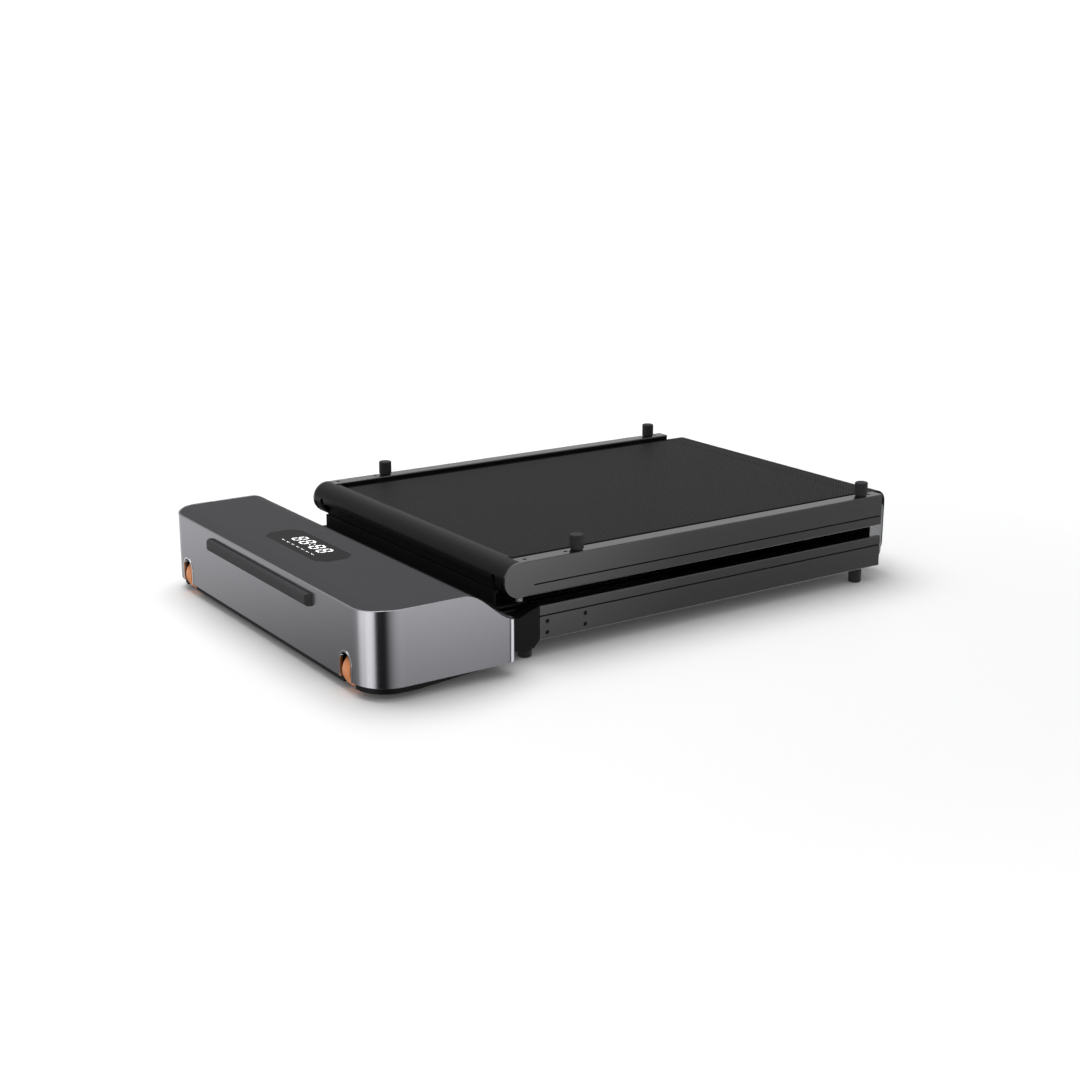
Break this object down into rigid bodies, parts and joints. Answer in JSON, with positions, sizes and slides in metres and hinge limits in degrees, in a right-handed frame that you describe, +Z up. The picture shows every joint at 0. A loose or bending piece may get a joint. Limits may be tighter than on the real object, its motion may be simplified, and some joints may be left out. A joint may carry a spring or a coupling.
{
  "type": "folding walking treadmill",
  "caption": "Low folding walking treadmill, shown folded: flat head with display and transport wheels, two deck sections with a belt, joined by a double hinge.",
  "frame": {"origin": "on the floor under the middle of the folded machine's bounding box", "axes": "+X from the head towards the hinge end, +Z up, and -Y is the left side of a person who stands on the deck and faces the head"},
  "size_m": [0.8314, 0.547, 0.1354],
  "materials": {
    "brushed_aluminium": "anodised, satin brushed",
    "polished_trim": "polished",
    "strip_rubber": "moulded matt rubber",
    "cover_plastic": "fine textured charcoal ABS",
    "window_plastic": "smoked gloss acrylic",
    "circuit_board": "green solder mask",
    "black_plastic": "moulded black ABS",
    "zinc_steel": "zinc plated sheet",
    "turned_steel": "turned and ground",
    "black_screw": "black oxide",
    "motor_enamel": "black enamel",
    "pulley_metal": "machined",
    "dark_aluminium": "dark grey powder coat",
    "deck_laminate": "waxed laminated board",
    "walking_belt": "diamond textured PVC belt",
    "ribbed_belt": "ribbed rubber",
    "foot_rubber": "moulded rubber",
    "orange_tyre": "cast polyurethane",
    "hub_plastic": "moulded nylon",
    "cable_jacket": "PVC sleeve"
  },
  "bodies": {
    "base": {"front_band": "brushed_aluminium", "wheel_arch_trims": "polished_trim", "stand_strip": "strip_rubber", "top_cover": "cover_plastic", "display_window": "window_plastic", "display_board": "circuit_board", "base_tray": "black_plastic", "head_chassis": "zinc_steel", "belt_guard": "black_plastic", "left_side_bracket": "black_plastic", "right_side_bracket": "black_plastic", "wheel_mounts": "zinc_steel", "wheel_axles": "turned_steel", "motor_body": "motor_enamel", "motor_mount": "zinc_steel", "control_board": "circuit_board", "heatsink": "pulley_metal", "power_inlet": "black_plastic", "switch_frame": "black_plastic", "internal_cables": "cable_jacket", "drive_belt": "ribbed_belt", "front_roller_axle": "turned_steel", "left_lower_rail": "dark_aluminium", "right_lower_rail": "dark_aluminium", "lower_deck_board": "deck_laminate", "lower_crossmembers": "dark_aluminium", "lower_deck_cushions": "foot_rubber", "lower_belt": "walking_belt", "lower_feet": "foot_rubber", "lower_rail_screws": "black_screw", "lower_hinge_pins": "turned_steel"},
    "motor_rotor": {"motor_shaft": "turned_steel", "motor_pulley": "pulley_metal"},
    "front_roller": {"front_roller_tube": "turned_steel", "front_roller_bearings": "turned_steel", "front_roller_pulley": "pulley_metal"},
    "left_wheel": {"left_wheel_hub": "hub_plastic", "left_wheel_tyre": "orange_tyre"},
    "right_wheel": {"right_wheel_hub": "hub_plastic", "right_wheel_tyre": "orange_tyre"},
    "power_switch": {"switch_rocker": "black_plastic"},
    "hinge_link": {"left_hinge_link": "turned_steel", "right_hinge_link": "turned_steel", "belt_fold_loop": "walking_belt"},
    "rear_section": {"left_upper_rail": "dark_aluminium", "right_upper_rail": "dark_aluminium", "upper_deck_board": "deck_laminate", "upper_crossmembers": "dark_aluminium", "upper_deck_cushions": "foot_rubber", "upper_belt": "walking_belt", "upper_feet": "foot_rubber", "upper_rail_screws": "black_screw", "upper_hinge_pins": "turned_steel", "rear_end_cap": "dark_aluminium", "rear_roller_axle": "turned_steel", "tension_bolts": "turned_steel", "fold_bumpers": "foot_rubber"},
    "rear_roller": {"rear_roller_tube": "turned_steel", "rear_roller_bearings": "turned_steel"}
  },
  "joints": [
    {"name": "link_fold", "type": "hinge", "parent": "base", "child": "hinge_link", "pos_m": [0.37367, 0, 0.03965], "axis": [0, 1, 0], "range_deg": [0, 90], "deforming": ["belt_fold_loop"]},
    {"name": "section_fold", "type": "hinge", "parent": "hinge_link", "child": "rear_section", "pos_m": [0.37367, 0, 0.09575], "axis": [0, 1, 0], "range_deg": [0, 90]},
    {"name": "front_roller_spin", "type": "hinge", "parent": "base", "child": "front_roller", "pos_m": [-0.24868, 0, 0.03965], "axis": [0, 1, 0], "continuous": true},
    {"name": "motor_spin", "type": "hinge", "parent": "base", "child": "motor_rotor", "pos_m": [-0.33267, 0, 0.055], "axis": [0, 1, 0], "continuous": true},
    {"name": "rear_roller_spin", "type": "hinge", "parent": "rear_section", "child": "rear_roller", "pos_m": [-0.18773, 0, 0.09575], "axis": [0, 1, 0], "continuous": true},
    {"name": "left_wheel_spin", "type": "hinge", "parent": "base", "child": "left_wheel", "pos_m": [-0.38967, -0.2165, 0.0235], "axis": [0, 1, 0], "continuous": true},
    {"name": "right_wheel_spin", "type": "hinge", "parent": "base", "child": "right_wheel", "pos_m": [-0.38967, 0.2165, 0.0235], "axis": [0, 1, 0], "continuous": true},
    {"name": "switch_press", "type": "hinge", "parent": "base", "child": "power_switch", "pos_m": [-0.30467, 0.2653, 0.04], "axis": [-1, 0, 0], "range_deg": [0, 14]}
  ],
  "couplings": [
    {"joint": "section_fold", "follows": "link_fold", "ratio": 1},
    {"joint": "motor_spin", "follows": "front_roller_spin", "ratio": 2.5},
    {"joint": "rear_roller_spin", "follows": "front_roller_spin", "ratio": 1}
  ]
}
